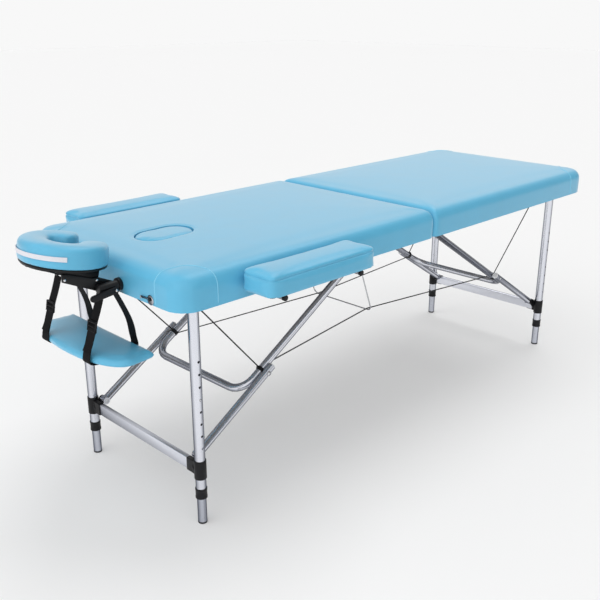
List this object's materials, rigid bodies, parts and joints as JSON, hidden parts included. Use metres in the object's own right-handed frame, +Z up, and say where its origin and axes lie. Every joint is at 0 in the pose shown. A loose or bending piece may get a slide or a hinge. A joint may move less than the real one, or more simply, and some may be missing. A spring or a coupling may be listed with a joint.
{
  "type": "folding massage table",
  "caption": "Padded two-half folding massage table on telescopic legs with folding struts, face cradle, arm sling and side armrests.",
  "frame": {"origin": "middle of the object's box in plan, on the floor", "axes": "+X along the table to the foot end, +Y to the far side, +Z up"},
  "size_m": [2.057, 0.898, 0.7559],
  "materials": {
    "sky_blue_vinyl": "smooth upholstery vinyl with a soft sheen",
    "polished_aluminium": "polished tube",
    "bright_steel": "bright nickel plated steel",
    "black_nylon": "fine moulded texture",
    "black_steel": "satin black powder coat",
    "black_webbing": "woven polypropylene webbing",
    "plywood": "raw birch plywood",
    "coated_cable": "grey vinyl coat over wire rope"
  },
  "bodies": {
    "head_deck": {"head_rails": "polished_aluminium", "head_panel": "plywood", "head_pad": "sky_blue_vinyl", "head_hinge_leaf": "bright_steel", "hinge_pin": "bright_steel", "head_leg_axle": "bright_steel", "head_strut_axle": "bright_steel", "near_brace_cable": "coated_cable", "far_brace_cable": "coated_cable", "near_latch_plate": "bright_steel", "far_latch_plate": "bright_steel"},
    "foot_deck": {"foot_rails": "polished_aluminium", "foot_panel": "plywood", "foot_pad": "sky_blue_vinyl", "foot_hinge_leaf": "bright_steel", "foot_leg_axle": "bright_steel", "foot_strut_axle": "bright_steel"},
    "face_plug": {"face_plug": "sky_blue_vinyl"},
    "take_up_bail": {"take_up_bail": "bright_steel"},
    "head_leg_frame": {"head_crossbar": "polished_aluminium", "head_near_leg_tube": "polished_aluminium", "head_near_collar": "black_nylon", "head_near_clamp": "black_nylon", "head_far_leg_tube": "polished_aluminium", "head_far_collar": "black_nylon", "head_far_clamp": "black_nylon"},
    "head_upper_strut": {"head_upper_strut": "polished_aluminium"},
    "head_lower_struts": {"head_near_lower_strut": "polished_aluminium", "head_far_lower_strut": "polished_aluminium"},
    "head_near_extension": {"head_near_leg_extension": "polished_aluminium"},
    "head_near_button": {"head_near_snap_button": "bright_steel"},
    "head_far_extension": {"head_far_leg_extension": "polished_aluminium"},
    "head_far_button": {"head_far_snap_button": "bright_steel"},
    "foot_leg_frame": {"foot_crossbar": "polished_aluminium", "foot_near_leg_tube": "polished_aluminium", "foot_near_collar": "black_nylon", "foot_near_clamp": "black_nylon", "foot_far_leg_tube": "polished_aluminium", "foot_far_collar": "black_nylon", "foot_far_clamp": "black_nylon"},
    "foot_upper_strut": {"foot_upper_strut": "polished_aluminium"},
    "foot_lower_struts": {"foot_near_lower_strut": "polished_aluminium", "foot_far_lower_strut": "polished_aluminium"},
    "foot_near_extension": {"foot_near_leg_extension": "polished_aluminium"},
    "foot_near_button": {"foot_near_snap_button": "bright_steel"},
    "foot_far_extension": {"foot_far_leg_extension": "polished_aluminium"},
    "foot_far_button": {"foot_far_snap_button": "bright_steel"},
    "cradle": {"cradle_frame": "black_steel", "sling_board": "sky_blue_vinyl", "near_sling_strap": "black_webbing", "far_sling_strap": "black_webbing"},
    "head_rest": {"head_rest_plate": "black_steel", "face_cushion": "sky_blue_vinyl"},
    "cam_lever": {"cam_lever": "black_nylon"},
    "near_armrest": {"near_armrest_pad": "sky_blue_vinyl", "near_armrest_frame": "bright_steel"},
    "near_latch": {"near_latch_hook": "bright_steel"},
    "far_armrest": {"far_armrest_pad": "sky_blue_vinyl", "far_armrest_frame": "bright_steel"},
    "far_latch": {"far_latch_hook": "bright_steel"}
  },
  "joints": [
    {"name": "centre_fold", "type": "hinge", "parent": "head_deck", "child": "foot_deck", "pos_m": [0.08868, 0, 0.6095], "axis": [0, 1, 0], "range_deg": [0, 112.5], "deforming": ["near_brace_cable", "far_brace_cable"]},
    {"name": "head_leg_fold", "type": "hinge", "parent": "head_deck", "child": "head_leg_frame", "pos_m": [-0.74732, 0, 0.6293], "axis": [0, -1, 0], "range_deg": [0, 90]},
    {"name": "head_upper_strut_fold", "type": "hinge", "parent": "head_deck", "child": "head_upper_strut", "pos_m": [0.02868, 0, 0.6483], "axis": [0, 1, 0], "range_deg": [0, 31.98]},
    {"name": "head_lower_strut_fold", "type": "hinge", "parent": "head_leg_frame", "child": "head_lower_struts", "pos_m": [-0.72832, 0, 0.1758], "axis": [0, -1, 0], "range_deg": [0, 58.03]},
    {"name": "foot_leg_fold", "type": "hinge", "parent": "foot_deck", "child": "foot_leg_frame", "pos_m": [0.92468, 0, 0.6293], "axis": [0, 1, 0], "range_deg": [0, 90]},
    {"name": "foot_upper_strut_fold", "type": "hinge", "parent": "foot_deck", "child": "foot_upper_strut", "pos_m": [0.14868, 0, 0.6483], "axis": [0, -1, 0], "range_deg": [0, 31.98]},
    {"name": "foot_lower_strut_fold", "type": "hinge", "parent": "foot_leg_frame", "child": "foot_lower_struts", "pos_m": [0.90568, 0, 0.1758], "axis": [0, 1, 0], "range_deg": [0, 58.03]},
    {"name": "bail_swing", "type": "hinge", "parent": "head_deck", "child": "take_up_bail", "pos_m": [-0.05932, 0, 0.6483], "axis": [0, 1, 0], "range_deg": [0, 110.64]},
    {"name": "head_near_leg_height", "type": "slide", "parent": "head_leg_frame", "child": "head_near_extension", "axis": [0, 0, -1], "range_m": [-0.1005, 0.134]},
    {"name": "head_near_button_press", "type": "slide", "parent": "head_near_extension", "child": "head_near_button", "axis": [0, 1, 0], "range_m": [0, 0.004], "stiffness_N_per_m": 400},
    {"name": "head_far_leg_height", "type": "slide", "parent": "head_leg_frame", "child": "head_far_extension", "axis": [0, 0, -1], "range_m": [-0.1005, 0.134]},
    {"name": "head_far_button_press", "type": "slide", "parent": "head_far_extension", "child": "head_far_button", "axis": [0, -1, 0], "range_m": [0, 0.004], "stiffness_N_per_m": 400},
    {"name": "foot_near_leg_height", "type": "slide", "parent": "foot_leg_frame", "child": "foot_near_extension", "axis": [0, 0, -1], "range_m": [-0.1005, 0.134]},
    {"name": "foot_near_button_press", "type": "slide", "parent": "foot_near_extension", "child": "foot_near_button", "axis": [0, 1, 0], "range_m": [0, 0.004], "stiffness_N_per_m": 400},
    {"name": "foot_far_leg_height", "type": "slide", "parent": "foot_leg_frame", "child": "foot_far_extension", "axis": [0, 0, -1], "range_m": [-0.1005, 0.134]},
    {"name": "foot_far_button_press", "type": "slide", "parent": "foot_far_extension", "child": "foot_far_button", "axis": [0, -1, 0], "range_m": [0, 0.004], "stiffness_N_per_m": 400},
    {"name": "face_plug_lift", "type": "slide", "parent": "head_deck", "child": "face_plug", "axis": [0, 0, 1], "range_m": [0, 0.12]},
    {"name": "cradle_pull", "type": "slide", "parent": "head_deck", "child": "cradle", "axis": [-1, 0, 0], "range_m": [0, 0.075]},
    {"name": "head_rest_tilt", "type": "hinge", "parent": "cradle", "child": "head_rest", "pos_m": [-0.89632, 0, 0.654], "axis": [0, 1, 0], "range_deg": [-5, 15]},
    {"name": "cam_lever_swing", "type": "hinge", "parent": "cradle", "child": "cam_lever", "pos_m": [-0.86432, -0.0965, 0.628], "axis": [0, -1, 0], "range_deg": [0, 90]},
    {"name": "near_armrest_pull", "type": "slide", "parent": "head_deck", "child": "near_armrest", "axis": [0, -1, 0], "range_m": [0, 0.036]},
    {"name": "near_latch_turn", "type": "hinge", "parent": "head_deck", "child": "near_latch", "pos_m": [-0.84132, -0.22, 0.627], "axis": [-1, 0, 0], "range_deg": [0, 90]},
    {"name": "far_armrest_pull", "type": "slide", "parent": "head_deck", "child": "far_armrest", "axis": [0, 1, 0], "range_m": [0, 0.036]},
    {"name": "far_latch_turn", "type": "hinge", "parent": "head_deck", "child": "far_latch", "pos_m": [-0.84132, 0.22, 0.627], "axis": [1, 0, 0], "range_deg": [0, 90]}
  ],
  "couplings": [
    {"joint": "head_leg_fold", "follows": "centre_fold", "ratio": 0.8},
    {"joint": "head_upper_strut_fold", "follows": "centre_fold", "ratio": 0.28419},
    {"joint": "head_lower_strut_fold", "follows": "centre_fold", "ratio": 0.51581},
    {"joint": "foot_leg_fold", "follows": "centre_fold", "ratio": 0.8},
    {"joint": "foot_upper_strut_fold", "follows": "centre_fold", "ratio": 0.28419},
    {"joint": "foot_lower_strut_fold", "follows": "centre_fold", "ratio": 0.51581},
    {"joint": "bail_swing", "follows": "centre_fold", "ratio": 0.98343}
  ]
}
